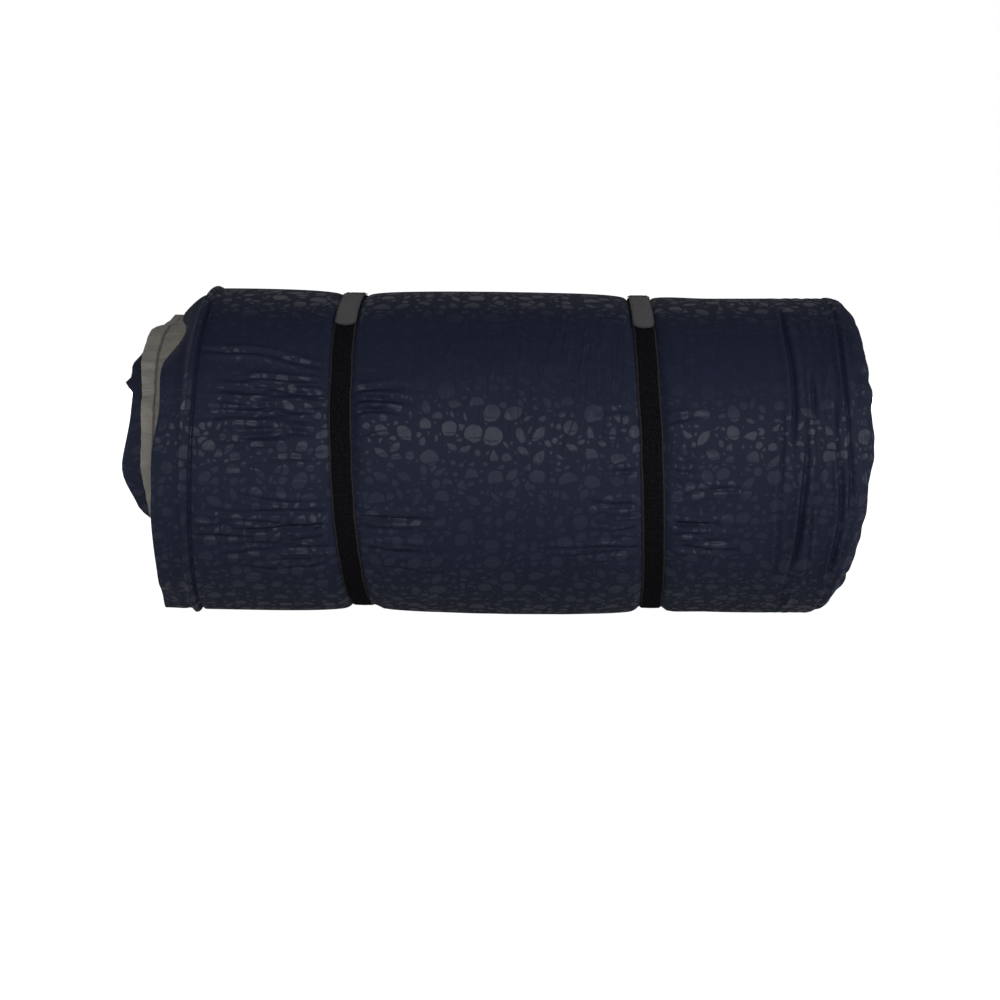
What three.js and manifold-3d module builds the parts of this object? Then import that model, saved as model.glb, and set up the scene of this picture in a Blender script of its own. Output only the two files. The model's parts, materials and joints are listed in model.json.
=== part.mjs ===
// A double self-inflating sleeping mat, folded in half, rolled up and held by two hook-and-loop straps.
// Units are millimetres, +Z is up, +X runs along the roll towards the fold, and +Y points to the back.
import * as THREE from "three";
import { mergeVertices } from "three/addons/utils/BufferGeometryUtils.js";
import Module from "manifold-3d";

// ---- The roll
const ROLL_RADIUS = 160;
const CORE_RADIUS = 3; // the hollow that is left on the axis
const WRAPS = 4; // how many folded thicknesses lie between the axis and the outside
const STEPS = 24; // sections in one turn
const FREE_END_DEG = 210; // 0 faces the front, 90 is up, 180 faces the back
const LAP_BEFORE = 0.125; // where the turn below starts to sink under the free end, in turns
const LAP_AFTER = 0.25; // where it has sunk a whole thickness
const END_TAPER = 2 / STEPS; // the stretch that thins out towards the free end, in turns

// ---- The folded mat, as places along the roll before it drifts
const FOLD_TIP_X = 336;
const FOAM_EDGE_X = -276; // where the foam ends at the open side
const FLAP_WIDTH = 34; // the welded margin without foam
const INNER_HALF_STAGGER = 12; // the inner half sticks out by this much
const DRIFT = 32; // the inner turns lie this much nearer the open side
const DRIFT_FROM = 0.5; // in turns from the free end
const DRIFT_TO = 1.05;
const SHEET_THICKNESS = 0.8;
const LAYER_GAP = 0.35;

// ---- The straps
const STRAP_WIDTH = 20;
const STRAP_THICKNESS = 1.6;
const STRAP_GAP = 0.3;
const STRAP_SINK = 7.5; // how far a strap's seat is pressed into the roll
const SEAT_MARGIN = 1.5; // flat seat on each side of the strap
const SEAT_SLOPE = 28; // the width over which the roll swells back to its full size
const STRAP_PHASE_DEG = 35; // where the lean of both straps is greatest
const STRAPS = [
  { name: "strap_left", x: -137.5, lean: 7.4 },
  { name: "strap_right", x: 142.3, lean: 10.5 },
];
const TAB_END_DEG = 56; // the rounded free end of the hook tab
const TAB_HINGE_DEG = 83; // where the tab bends up from the stitching
const TAB_ROOT_DEG = 95; // where the sewn end of the tab stops
const TAB_THICKNESS = 1.2;
const BAND_START_DEG = 84; // the outer end of the band, under the sewn end of the tab
const BAND_END_DEG = 472; // the inner end, a lap further round
const BAND_LAP_DEG = 120; // up to here the band lies on its own other end
const TAB_NOSE = 8; // length of the rounding at the tab's free end
const THREAD = 0.6;

// ---- The valve
const VALVE_FROM_FOAM_EDGE = 40;
const FLANGE_RADIUS = 20;
const FLANGE_THICKNESS = 1.5;
const NECK_RADIUS = 13;
const NECK_WALL = 1.8;
const NECK_HEIGHT = 4.5; // above the sheet
const NECK_SKIRT = 2; // below the flange
const THREAD_RIDGE = 0.5;
const THREAD_PITCH = 3;
const LEDGE = 1.6; // carries the valve's seat disc
const SEAT_DISC_THICKNESS = 1.4;
const FLAP_THICKNESS = 0.6;
const CAP_WALL = 3.4;
const CAP_TOP = 1.8;
const CAP_GRIPS = 18;
const GRIP_DEPTH = 0.7;
const SEAL_THICKNESS = 1.2;
const VALVE_GAP = 0.4;

const wasm = await Module();
wasm.setup();

const TURN = 2 * Math.PI;
const rad = THREE.MathUtils.degToRad;
const smooth = (from, to, v) => THREE.MathUtils.smoothstep(v, from, to);

// ---- The spiral. A section is named by s, its distance from the free end in turns.
const PITCH = (ROLL_RADIUS - CORE_RADIUS) / WRAPS;
const PITCHES_TO_DROP = 7.85;
const LEAST_DROP = 5; // the drop at the real size, kept as the least one
const FLAP_DROP = Math.max(LEAST_DROP, PITCH / PITCHES_TO_DROP); // how far the margin lies below the foam's edge
const BARE_STACK = 4 * SHEET_THICKNESS + 5 * LAYER_GAP; // both halves without their foam
const LAST_STEP = WRAPS * STEPS;
const angleOf = (s) => rad(FREE_END_DEG) - TURN * s;

// How many thicknesses the mat's outer face has sunk towards the axis.
function sunk(s) {
  let laps = 0;
  for (let lap = 1; lap <= WRAPS; lap++)
    laps += smooth(lap - LAP_BEFORE, lap + LAP_AFTER, s);
  return laps;
}

const innerRadius = (s) => ROLL_RADIUS - PITCH * sunk(s + 1) + LAYER_GAP;
const END_PRESS = ROLL_RADIUS - innerRadius(0) - BARE_STACK;
const outerRadius = (s) =>
  ROLL_RADIUS - PITCH * sunk(s) - END_PRESS * Math.max(0, 1 - s / END_TAPER) ** 2;
const foamThickness = (s) => (outerRadius(s) - innerRadius(s) - BARE_STACK) / 2;
const FULL_FOAM = (PITCH - LAYER_GAP - BARE_STACK) / 2;
const drift = (s) => -DRIFT * smooth(DRIFT_FROM, DRIFT_TO, s);

// The roll's own weight flattens the turn that lies on the ground.
const GROUND = ROLL_RADIUS * Math.cos(TURN / STEPS);
function flattened(radius, depth, s) {
  const down = -Math.sin(angleOf(s));
  return s < 1 && down > 0.5 ? Math.min(radius, GROUND / down - depth) : radius;
}

const strapCentre = (strap, angle) =>
  strap.x - strap.lean * Math.sin(angle + rad(STRAP_PHASE_DEG));

// How deep a strap's seat is, fading out where the free end is too thin for it.
const SEAT_FADE = 3 / STEPS;
const seatDepth = (s) =>
  STRAP_SINK * smooth(0, SEAT_FADE, s) * (1 - smooth(1 - 4 / STEPS, 1, s));

// ---- One section of the folded mat: a path of [x, radius] round the fold, at a depth below the face.
const ARC_POINTS = 3;
function foldPath(s, depth, { flaps, seats, foamSide }) {
  const [outer, inner] = [outerRadius(s), innerRadius(s)];
  const [half, middle] = [(outer - inner) / 2, (outer + inner) / 2];
  const [foam, shift] = [foamThickness(s), drift(s)];
  const foldX = FOLD_TIP_X - PITCH / 2 + shift;
  const foamX = FOAM_EDGE_X + shift;
  const press = (radius) => (seats ? flattened(radius, depth, s) : radius);
  const path = [];
  if (flaps) {
    const drop = FLAP_DROP * (foam / FULL_FOAM);
    const rise = foamSide ? foam : 0;
    path.push([foamX - FLAP_WIDTH, press(outer - depth - drop + rise)]);
  }
  path.push([foamX, press(outer - depth)]);
  if (seats)
    for (const strap of STRAPS) {
      const centre = strapCentre(strap, angleOf(s));
      const flat = STRAP_WIDTH / 2 + SEAT_MARGIN;
      const deep = press(outer - depth) - seatDepth(s);
      path.push([centre - flat - SEAT_SLOPE, press(outer - depth)]);
      path.push([centre - flat, deep], [centre + flat, deep]);
      path.push([centre + flat + SEAT_SLOPE, press(outer - depth)]);
    }
  for (let i = 0; i <= ARC_POINTS + 1; i++) {
    const turn = (Math.PI * i) / (ARC_POINTS + 1);
    const reach = half - depth;
    const radius = middle + reach * Math.cos(turn);
    path.push([foldX + reach * Math.sin(turn), i < 2 ? press(radius) : radius]);
  }
  const innerX = foamX - INNER_HALF_STAGGER;
  path.push([innerX + (flaps ? 0 : INNER_HALF_STAGGER / 2), inner + depth]);
  if (flaps) {
    const squeeze = foamSide ? -foam / 2 : foam / 2;
    path.push([innerX - FLAP_WIDTH, inner + depth + squeeze]);
  }
  return path;
}

// ---- Solids
const place = ([x, radius], angle) => [
  x,
  -radius * Math.cos(angle),
  radius * Math.sin(angle),
];

// A closed solid through closed outlines of equal length, each a list of 3-D points.
// The first points of an outline, as many as faceCount, are one face, and the others come back along it.
function loft(outlines, faceCount) {
  const count = outlines[0].length;
  const triangles = [];
  for (let k = 0; k + 1 < outlines.length; k++)
    for (let i = 0; i < count; i++) {
      const [a, b] = [k * count + i, k * count + ((i + 1) % count)];
      // Both faces are split along the same diagonal, so that layers stay parallel.
      if (i < faceCount - 1) triangles.push(a, b, b + count, a, b + count, a + count);
      else triangles.push(a, b, a + count, b, b + count, a + count);
    }
  const last = (outlines.length - 1) * count;
  for (const [a, b, c] of zipped(outlines[0], faceCount)) triangles.push(a, c, b);
  for (const [a, b, c] of zipped(outlines.at(-1), faceCount))
    triangles.push(last + a, last + b, last + c);
  return facingOut(outlines.flat(2), triangles);
}

// Triangles that fill a thin outline from one end to the other, by the shorter diagonal each time.
function zipped(outline, faceCount) {
  const points = outline.map((point) => new THREE.Vector3(...point));
  const triangles = [];
  let [face, back] = [0, outline.length - 1];
  while (face < faceCount - 1 || back > faceCount) {
    const alongFace = points[Math.min(face + 1, faceCount - 1)].distanceTo(points[back]);
    const alongBack = points[face].distanceTo(points[Math.max(back - 1, faceCount)]);
    const onFace = back === faceCount || (face < faceCount - 1 && alongFace < alongBack);
    triangles.push([face, onFace ? face + 1 : back - 1, back]);
    if (onFace) face++;
    else back--;
  }
  return triangles;
}

// Turns every face round if the solid is inside out.
function facingOut(positions, triangles) {
  const at = (i) => new THREE.Vector3(...positions.slice(3 * i, 3 * i + 3));
  let volume = 0;
  for (let i = 0; i < triangles.length; i += 3) {
    const [a, b, c] = triangles.slice(i, i + 3).map(at);
    volume += a.dot(b.cross(c));
  }
  if (volume < 0) triangles.reverse();
  const geometry = new THREE.BufferGeometry();
  geometry.setAttribute("position", new THREE.Float32BufferAttribute(positions, 3));
  geometry.setIndex(triangles);
  return geometry;
}

// A layer of the mat between two depths, swept from one section of the spiral to another.
function matLayer(outside, inside, firstStep, lastStep) {
  const sections = [];
  for (let k = firstStep; k <= lastStep; k++) {
    const s = k / STEPS;
    sections.push([...outside(s), ...inside(s).reverse()]);
  }
  const outlines = sections.map((section, i) =>
    section.map((point) => place(point, angleOf((firstStep + i) / STEPS))),
  );
  return loft(outlines, outside(firstStep / STEPS).length);
}

const foamTop = SHEET_THICKNESS + LAYER_GAP;
const foamBottom = (s) => foamTop + foamThickness(s);
const backTop = (s) => foamBottom(s) + LAYER_GAP;
const backBottom = (s) => backTop(s) + SHEET_THICKNESS;

const topSheet = () =>
  matLayer(
    (s) => foldPath(s, 0, { flaps: true, seats: true }),
    (s) => foldPath(s, SHEET_THICKNESS, { flaps: true, seats: true }),
    0,
    LAST_STEP,
  );
const foamCore = () =>
  matLayer(
    (s) => foldPath(s, foamTop, { seats: true }),
    (s) => foldPath(s, foamBottom(s), {}),
    1,
    LAST_STEP - 1,
  );
const bottomSheet = () =>
  matLayer(
    (s) => foldPath(s, backTop(s), { flaps: true, foamSide: true }),
    (s) => foldPath(s, backBottom(s), { flaps: true, foamSide: true }),
    0,
    LAST_STEP,
  );

// ---- The straps lie on the facets of the outermost turn.
function seatRadius(angle) {
  const s = THREE.MathUtils.euclideanModulo(rad(FREE_END_DEG) - angle, TURN) / TURN;
  return flattened(outerRadius(s), 0, s) - seatDepth(s);
}

// A point on a strap's seat at any angle, lifted off it, on the chord between two sections.
function onSeat(strap, angle, across, lift) {
  const step = TURN / STEPS;
  const from = Math.floor(angle / step + 1e-6) * step;
  const share = (angle - from) / step;
  const ends = [from, from + step].map(
    (a) => new THREE.Vector3(...place([strapCentre(strap, a), seatRadius(a) + lift], a)),
  );
  return ends[0].lerp(ends[1], share).add(new THREE.Vector3(across, 0, 0)).toArray();
}

// A flat strip along the seat; stops are [angle in degrees, half width, lift].
function strip(strap, stops, thickness) {
  const outlines = stops.map(([degrees, halfWidth, lift]) => {
    const at = (side, up) => onSeat(strap, rad(degrees), side * halfWidth, lift + up);
    return [at(-1, 0), at(1, 0), at(1, thickness), at(-1, thickness)];
  });
  return loft(outlines, 2);
}

// Angles from one to another that include every section of the roll between them.
function stopsBetween(fromDeg, toDeg) {
  const step = 360 / STEPS;
  const stops = [fromDeg];
  for (let a = Math.ceil(fromDeg / step + 1e-6) * step; a < toDeg - 1e-6; a += step)
    stops.push(a);
  return [...stops, toDeg];
}

const FIRST_LIFT = STRAP_GAP;
const SECOND_LIFT = FIRST_LIFT + STRAP_THICKNESS + STRAP_GAP;
const THIRD_LIFT = SECOND_LIFT + STRAP_THICKNESS + STRAP_GAP;
const TOP_LIFT = THIRD_LIFT + TAB_THICKNESS + STRAP_GAP;

function strapBand(strap) {
  const stops = stopsBetween(BAND_START_DEG, BAND_END_DEG).map((degrees) => [
    degrees,
    STRAP_WIDTH / 2,
    degrees <= BAND_LAP_DEG ? SECOND_LIFT : FIRST_LIFT,
  ]);
  return strip(strap, stops, STRAP_THICKNESS);
}

// The free part of the hook tab, from its rounded nose to the line where it bends.
function strapTab(strap) {
  const noseDeg = THREE.MathUtils.radToDeg(TAB_NOSE / ROLL_RADIUS);
  const nose = [0, 0.15, 0.5, 1].map((share) => [
    TAB_END_DEG + noseDeg * share,
    (STRAP_WIDTH / 2) * (0.45 + 0.55 * Math.sqrt(1 - (1 - share) ** 2)),
    SECOND_LIFT,
  ]);
  const rest = stopsBetween(TAB_END_DEG + noseDeg, TAB_HINGE_DEG).slice(1);
  return strip(
    strap,
    [...nose, ...rest.map((degrees) => [degrees, STRAP_WIDTH / 2, SECOND_LIFT])],
    TAB_THICKNESS,
  );
}

function strapTabRoot(strap) {
  const stops = stopsBetween(BAND_START_DEG, TAB_ROOT_DEG);
  return strip(
    strap,
    stops.map((degrees) => [degrees, STRAP_WIDTH / 2, THIRD_LIFT]),
    TAB_THICKNESS,
  );
}

// A rectangle of thread on top of the sewn end.
function strapStitching(strap) {
  const inset = 2;
  const insetDeg = THREE.MathUtils.radToDeg(inset / ROLL_RADIUS);
  const across = STRAP_WIDTH / 2 - inset;
  const stops = stopsBetween(BAND_START_DEG + insetDeg, TAB_ROOT_DEG - insetDeg);
  const frame = (half) => {
    const lifts = stops.map((degrees, i) => {
      const grow = (half * insetDeg) / inset;
      const end = i === 0 ? -grow : i === stops.length - 1 ? grow : 0;
      return [degrees + end, across + half];
    });
    const left = lifts.map(([degrees, side]) => [degrees, -side]);
    return [...left, ...lifts.map(([degrees, side]) => [degrees, side]).reverse()];
  };
  const rings = [
    [frame(THREAD / 2), 0],
    [frame(THREAD / 2), THREAD],
    [frame(-THREAD / 2), THREAD],
    [frame(-THREAD / 2), 0],
  ].map(([points, up]) =>
    points.map(([degrees, side]) => onSeat(strap, rad(degrees), side, TOP_LIFT + up)),
  );
  const count = rings[0].length;
  const triangles = [];
  for (let ring = 0; ring < rings.length; ring++)
    for (let i = 0; i < count; i++) {
      const next = ((ring + 1) % rings.length) * count;
      const [a, b] = [ring * count + i, ring * count + ((i + 1) % count)];
      const [c, d] = [next + ((i + 1) % count), next + i];
      triangles.push(a, b, c, a, c, d);
    }
  return facingOut(rings.flat(2), triangles);
}

// ---- The valve stands on the back of the roll with its axis along +Y.
const VALVE_X = FOAM_EDGE_X + VALVE_FROM_FOAM_EDGE;
const SHEET_Y = ROLL_RADIUS; // the sheet's outer face on the valve's axis
// How steeply the sheet falls away beside the axis, on the side of the free end.
const [, BESIDE_Y, BESIDE_Z] = place([0, outerRadius(1 / STEPS)], angleOf(1 / STEPS));
const FACET_SLOPE = (SHEET_Y - BESIDE_Y) / Math.abs(BESIDE_Z);
const FLANGE_TOP =
  SHEET_Y - SHEET_THICKNESS - LAYER_GAP - FLANGE_RADIUS * FACET_SLOPE;
const FLANGE_BOTTOM = FLANGE_TOP - FLANGE_THICKNESS;
const SKIRT_BOTTOM = FLANGE_BOTTOM - NECK_SKIRT;
const RIM_Y = SHEET_Y + NECK_HEIGHT;
const BORE_RADIUS = NECK_RADIUS - NECK_WALL;
const LEDGE_Y = FLANGE_TOP + FLAP_THICKNESS;
const CAP_BORE = NECK_RADIUS + THREAD_RIDGE + VALVE_GAP;
const CAP_BOTTOM = SHEET_Y + VALVE_GAP;
const SEAL_BOTTOM = RIM_Y + STRAP_GAP;
const CAP_ROOF = SEAL_BOTTOM + SEAL_THICKNESS + STRAP_GAP;
const ROUND = 28;

const lathe = (points) =>
  new THREE.LatheGeometry(points.map(([r, y]) => new THREE.Vector2(r, y)), ROUND);

function valveBase() {
  const ridge = NECK_RADIUS + THREAD_RIDGE;
  const ridges = [SHEET_Y + 1, SHEET_Y + 1 + THREAD_PITCH / 2].flatMap((y) => [
    [NECK_RADIUS, y],
    [ridge, y + THREAD_RIDGE],
    [NECK_RADIUS, y + 2 * THREAD_RIDGE],
  ]);
  return lathe([
    [BORE_RADIUS - LEDGE, SKIRT_BOTTOM],
    [NECK_RADIUS, SKIRT_BOTTOM],
    [NECK_RADIUS, FLANGE_BOTTOM],
    [FLANGE_RADIUS, FLANGE_BOTTOM],
    [FLANGE_RADIUS, FLANGE_TOP],
    [NECK_RADIUS, FLANGE_TOP],
    ...ridges,
    [NECK_RADIUS, RIM_Y],
    [BORE_RADIUS, RIM_Y],
    [BORE_RADIUS, LEDGE_Y],
    [BORE_RADIUS - LEDGE, LEDGE_Y],
    [BORE_RADIUS - LEDGE, SKIRT_BOTTOM],
  ]);
}

const PIN_RADIUS = 1.3;
const SEAT_BOTTOM = LEDGE_Y + STRAP_GAP;
function valveSeat() {
  const disc = new THREE.Shape().absarc(0, 0, BORE_RADIUS - VALVE_GAP, 0, TURN);
  const vents = 6;
  const ventRing = (BORE_RADIUS + PIN_RADIUS) / 2;
  for (let i = 0; i < vents; i++) {
    const a = (TURN * i) / vents;
    const hole = new THREE.Path();
    hole.absarc(ventRing * Math.cos(a), ventRing * Math.sin(a), 2, 0, TURN, true);
    disc.holes.push(hole);
  }
  const middle = new THREE.Path();
  middle.absarc(0, 0, PIN_RADIUS + STRAP_GAP, 0, TURN, true);
  disc.holes.push(middle);
  const solid = new THREE.ExtrudeGeometry(disc, {
    depth: SEAT_DISC_THICKNESS,
    bevelEnabled: false,
    curveSegments: 8,
  });
  return solid.rotateX(-Math.PI / 2).translate(0, SEAT_BOTTOM, 0);
}

function valveFlap() {
  const top = SEAT_BOTTOM - STRAP_GAP;
  const edge = BORE_RADIUS - LEDGE - VALVE_GAP;
  return lathe([
    [0, top - FLAP_THICKNESS],
    [edge, top - FLAP_THICKNESS],
    [edge, top],
    [PIN_RADIUS, top],
    [PIN_RADIUS, SEAT_BOTTOM + SEAT_DISC_THICKNESS + 1],
    [0, SEAT_BOTTOM + SEAT_DISC_THICKNESS + 1],
  ]);
}

function valveSeal() {
  const [inner, outer] = [BORE_RADIUS - VALVE_GAP, CAP_BORE - VALVE_GAP];
  const top = SEAL_BOTTOM + SEAL_THICKNESS;
  return lathe([
    [inner, SEAL_BOTTOM],
    [outer, SEAL_BOTTOM],
    [outer, top],
    [inner, top],
    [inner, SEAL_BOTTOM],
  ]);
}

function valveCap() {
  const radius = CAP_BORE + CAP_WALL;
  const outline = new THREE.Shape();
  const points = CAP_GRIPS * 4;
  for (let i = 0; i < points; i++) {
    const a = (TURN * i) / points;
    const r = radius - (i % 4 < 2 ? 0 : GRIP_DEPTH);
    outline[i ? "lineTo" : "moveTo"](r * Math.cos(a), r * Math.sin(a));
  }
  const body = new THREE.ExtrudeGeometry(outline, {
    depth: CAP_ROOF + CAP_TOP - CAP_BOTTOM,
    bevelEnabled: false,
  });
  body.rotateX(-Math.PI / 2).translate(0, CAP_BOTTOM, 0);
  const bore = lathe([
    [0, CAP_BOTTOM - 1],
    [CAP_BORE, CAP_BOTTOM - 1],
    [CAP_BORE, CAP_ROOF],
    [0, CAP_ROOF],
  ]);
  return cut(body, bore);
}

// ---- Booleans
function solid(geometry) {
  const bare = geometry.index ? geometry.toNonIndexed() : geometry.clone();
  bare.deleteAttribute("normal");
  bare.deleteAttribute("uv");
  const merged = mergeVertices(bare, 1e-3);
  return new wasm.Manifold(
    new wasm.Mesh({
      numProp: 3,
      vertProperties: merged.attributes.position.array,
      triVerts: new Uint32Array(merged.index.array),
    }),
  );
}

function cut(geometry, cutter) {
  const mesh = solid(geometry).subtract(solid(cutter)).getMesh();
  const result = new THREE.BufferGeometry();
  result.setAttribute("position", new THREE.BufferAttribute(mesh.vertProperties, 3));
  result.setIndex([...mesh.triVerts]);
  return result;
}

// A round hole for the valve, from a depth below the sheet's face to well outside it.
const valveHole = (radius, bottom) =>
  lathe([
    [0, bottom],
    [radius, bottom],
    [radius, SHEET_Y + ROLL_RADIUS / 10],
    [0, SHEET_Y + ROLL_RADIUS / 10],
  ]).translate(VALVE_X, 0, 0);

// ---- Materials
const material = (color, roughness, metalness = 0) =>
  new THREE.MeshStandardMaterial({ color, roughness, metalness });
const printedFabric = material(0x232a3e, 0.62);
const backFabric = material(0x6c6966, 0.7);
const foam = material(0xcfc9b4, 0.95);
const loopTape = material(0x101114, 0.95);
const hookTape = material(0x3e3d42, 0.5);
const thread = material(0x19191c, 0.8);
const hardPlastic = material(0x17181b, 0.4);
const silicone = material(0x8d9092, 0.55);

// ---- Assembly
const roll = new THREE.Group();
function add(name, geometry, finish, parent = roll) {
  const mesh = new THREE.Mesh(geometry, finish);
  mesh.name = name;
  parent.add(mesh);
}

const holeInSheet = valveHole(NECK_RADIUS + VALVE_GAP, FLANGE_TOP + LAYER_GAP / 2);
const pocketInFoam = valveHole(
  FLANGE_RADIUS + 2 * VALVE_GAP,
  SKIRT_BOTTOM - VALVE_GAP,
);
add("top_sheet", cut(topSheet(), holeInSheet), printedFabric);
add("foam_core", cut(foamCore(), pocketInFoam), foam);
add("bottom_sheet", bottomSheet(), backFabric);

for (const strap of STRAPS) {
  add(`${strap.name}_band`, strapBand(strap), loopTape);
  add(`${strap.name}_hook_tab`, strapTab(strap), hookTape);
  add(`${strap.name}_tab_root`, strapTabRoot(strap), hookTape);
  add(`${strap.name}_stitching`, strapStitching(strap), thread);
}

const valve = new THREE.Group();
valve.position.x = VALVE_X;
roll.add(valve);
add("valve_base", valveBase(), hardPlastic, valve);
add("valve_seat", valveSeat(), hardPlastic, valve);
add("valve_flap", valveFlap(), silicone, valve);
add("valve_seal", valveSeal(), silicone, valve);
add("valve_cap", valveCap(), hardPlastic, valve);

// The part's origin is the bottom centre of its box.
const group = new THREE.Group();
group.add(roll);
const box = new THREE.Box3().setFromObject(roll);
const centre = box.getCenter(new THREE.Vector3());
roll.position.set(-centre.x, -centre.y, -box.min.z);

export default group;
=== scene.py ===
"""Looks of the rolled self-inflating double mat: printed cover, grey back, straps, tabs and valve.

Metres, in the frame of the CAD model: +X along the roll to its fold, +Y to the back, +Z up.
A place on the mat is named by s, its turns from the free end, and by its distance across the cloth.
"""
import json
from math import cos, pi, radians, sin, sqrt

import bmesh
import bpy
import numpy as np
from mathutils import Euler, Matrix, Vector

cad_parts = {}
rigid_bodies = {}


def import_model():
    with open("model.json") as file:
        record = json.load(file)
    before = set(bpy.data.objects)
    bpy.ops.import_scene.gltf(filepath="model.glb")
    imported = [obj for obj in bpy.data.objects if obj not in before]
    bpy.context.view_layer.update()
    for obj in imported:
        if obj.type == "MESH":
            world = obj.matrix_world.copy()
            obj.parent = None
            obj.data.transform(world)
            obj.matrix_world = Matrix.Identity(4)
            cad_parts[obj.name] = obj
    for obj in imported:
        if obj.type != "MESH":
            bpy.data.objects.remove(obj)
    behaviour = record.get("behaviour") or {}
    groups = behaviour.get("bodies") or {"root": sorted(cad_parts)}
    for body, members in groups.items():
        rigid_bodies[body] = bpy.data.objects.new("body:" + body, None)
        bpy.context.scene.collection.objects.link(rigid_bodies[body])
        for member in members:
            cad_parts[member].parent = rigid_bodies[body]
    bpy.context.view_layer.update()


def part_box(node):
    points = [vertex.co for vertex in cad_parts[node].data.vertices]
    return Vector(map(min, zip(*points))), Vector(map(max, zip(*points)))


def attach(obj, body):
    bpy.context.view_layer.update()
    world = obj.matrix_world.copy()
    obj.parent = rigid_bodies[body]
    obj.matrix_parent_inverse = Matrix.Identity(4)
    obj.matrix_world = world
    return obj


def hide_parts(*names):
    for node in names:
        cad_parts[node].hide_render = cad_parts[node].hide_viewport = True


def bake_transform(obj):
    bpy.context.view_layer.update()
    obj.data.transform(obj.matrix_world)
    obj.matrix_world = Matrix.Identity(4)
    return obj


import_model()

MM = 0.001

# ---- The roll, worked out from the CAD's printed sheet
SHEET_LOW, SHEET_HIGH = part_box("top_sheet")
ROLL_RADIUS = (SHEET_HIGH[1] - SHEET_LOW[1]) / 2
AXIS_Y = (SHEET_HIGH[1] + SHEET_LOW[1]) / 2
AXIS_Z = SHEET_HIGH[2] - ROLL_RADIUS
FOLD_TIP_X = SHEET_HIGH[0]
CORE_RADIUS = 3 * MM
WRAPS = 4
STEPS = 24  # the CAD's sections in one turn
FREE_END = radians(210)  # 0 faces the front, 90 degrees is up, 180 faces the back
LAP_BEFORE = 0.125  # in turns: where the mat starts to step in, before it passes under its free end
LAP_AFTER = 0.25  # and where it has stepped in, past it
END_TAPER = 2 / STEPS  # the stretch in which the free end thins out
SHEET = 0.8 * MM
LAYER_GAP = 0.35 * MM
PITCH = (ROLL_RADIUS - CORE_RADIUS) / WRAPS
BARE_STACK = 4 * SHEET + 5 * LAYER_GAP  # the folded mat's thickness without foam
GROUND = ROLL_RADIUS * cos(2 * pi / STEPS)  # from the axis down to the ground

# ---- The folded mat
FOAM_EDGE_X = FOLD_TIP_X - 612 * MM
FOLD_X = FOLD_TIP_X - PITCH / 2
FLAP = 34 * MM  # the welded margin without foam
FLAP_DROP = 5 * MM  # how far its cut edge lies below the foam's edge
STAGGER = 12 * MM  # the inner half reaches this much farther out at the open end
WELD = 9 * MM  # the pressed band along a cut edge
WELD_GAP = 0.5 * MM  # between the two cloths in the weld
OPEN_GAP = 1.7 * MM  # and how much more before it
GREY_GAP = 0.4 * MM  # from the middle of the folded mat to the grey cloth of either half
FLAP_WAVE = 2.2 * MM
DRIFT = 32 * MM  # how far the second turn lies out past the first
DRIFT_FROM, DRIFT_TO = 0.5, 1.05
SLIP_BACK = 0.8 * DRIFT
SLIP_FROM, SLIP_TO = 1.58, 1.8
LEG = FOLD_X - FOAM_EDGE_X
ARC = pi * PITCH / 2
EDGE_OUT = FLAP
LEG_END = EDGE_OUT + LEG
ARC_END = LEG_END + ARC
EDGE_IN = ARC_END + LEG + STAGGER
CLOTH_WIDTH = EDGE_IN + FLAP

# ---- The straps
STRAP_WIDTH = 20 * MM
STRAP_THICKNESS = 1.6 * MM
STRAP_GAP = 0.3 * MM
STRAP_SINK = 8.5 * MM  # how deep a strap pulls its seat
STRAP_PHASE = radians(35)
CLEAR_OF_STRAP = 11.5 * MM  # from a strap's centre line to where the cloth is free to crease
STRAPS = {
    "left": {"x": FOLD_TIP_X - 473.5 * MM, "lean": 7.4 * MM},
    "right": {"x": FOLD_TIP_X - 193.7 * MM, "lean": 10.5 * MM},
}
TAB_END, TAB_ROOT = 56, 95  # degrees round the roll
TAB_THICKNESS = 1.2 * MM
TAB_ROUNDING = 8 * MM
NOSE_LIFT = 0.5 * MM  # how far the tab's end stands off the loops
FACING_IN = -0.7  # a face turned this far to the axis belongs to the underside
BAND_START, BAND_END = 84, 472  # once round the roll, and on under the band's own start
BAND_LAP = 120  # up to here the band lies a layer higher
BAND_STEP_DOWN = 14
THREAD = 0.6 * MM
STITCH_LENGTH = 2.3 * MM
STITCH_PITCH = 3.0 * MM

# ---- The large creases
FANS = [  # strap, side, height and spread in degrees round it, reach in m, count, depth in mm
    ("left", -1, 26, 4.5, 0.135, 9, 3.4),
    ("left", -1, 12, 3.0, 0.110, 5, 2.6),
    ("left", -1, -17, 5.0, 0.140, 12, 3.5),
    ("left", -1, -32, 5.0, 0.110, 6, 2.0),
    ("left", 1, 24, 6.0, 0.060, 8, 2.4),
    ("left", 1, -22, 7.0, 0.090, 10, 2.6),
    ("right", -1, 14, 7.0, 0.050, 5, 1.7),
    ("right", -1, -19, 4.5, 0.095, 9, 3.0),
    ("right", 1, 10, 8.0, 0.045, 6, 1.7),
    ("right", 1, -21, 5.0, 0.070, 8, 3.0),
]
RINGS = [  # nearest and farthest from the fold's tip, count, shortest and longest, depth, all mm
    (56, 86, 6, 180, 340, 3.0),
    (18, 56, 8, 80, 260, 2.6),
    (0, 14, 12, 40, 110, 1.1),
]
DEEPEST_FOLD = 4.5 * MM
FOAM_DEPTH = 9 * MM  # how far the foam lies below the plain printed face, deeper than any fold

# ---- The valve
VALVE_LOW, VALVE_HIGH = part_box("valve_base")
VALVE_X = (VALVE_LOW[0] + VALVE_HIGH[0]) / 2
VALVE_Z = (VALVE_LOW[2] + VALVE_HIGH[2]) / 2
VALVE_HOLE = 13.4 * MM  # the radius of the hole in the cloth, under the valve's flange


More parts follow.
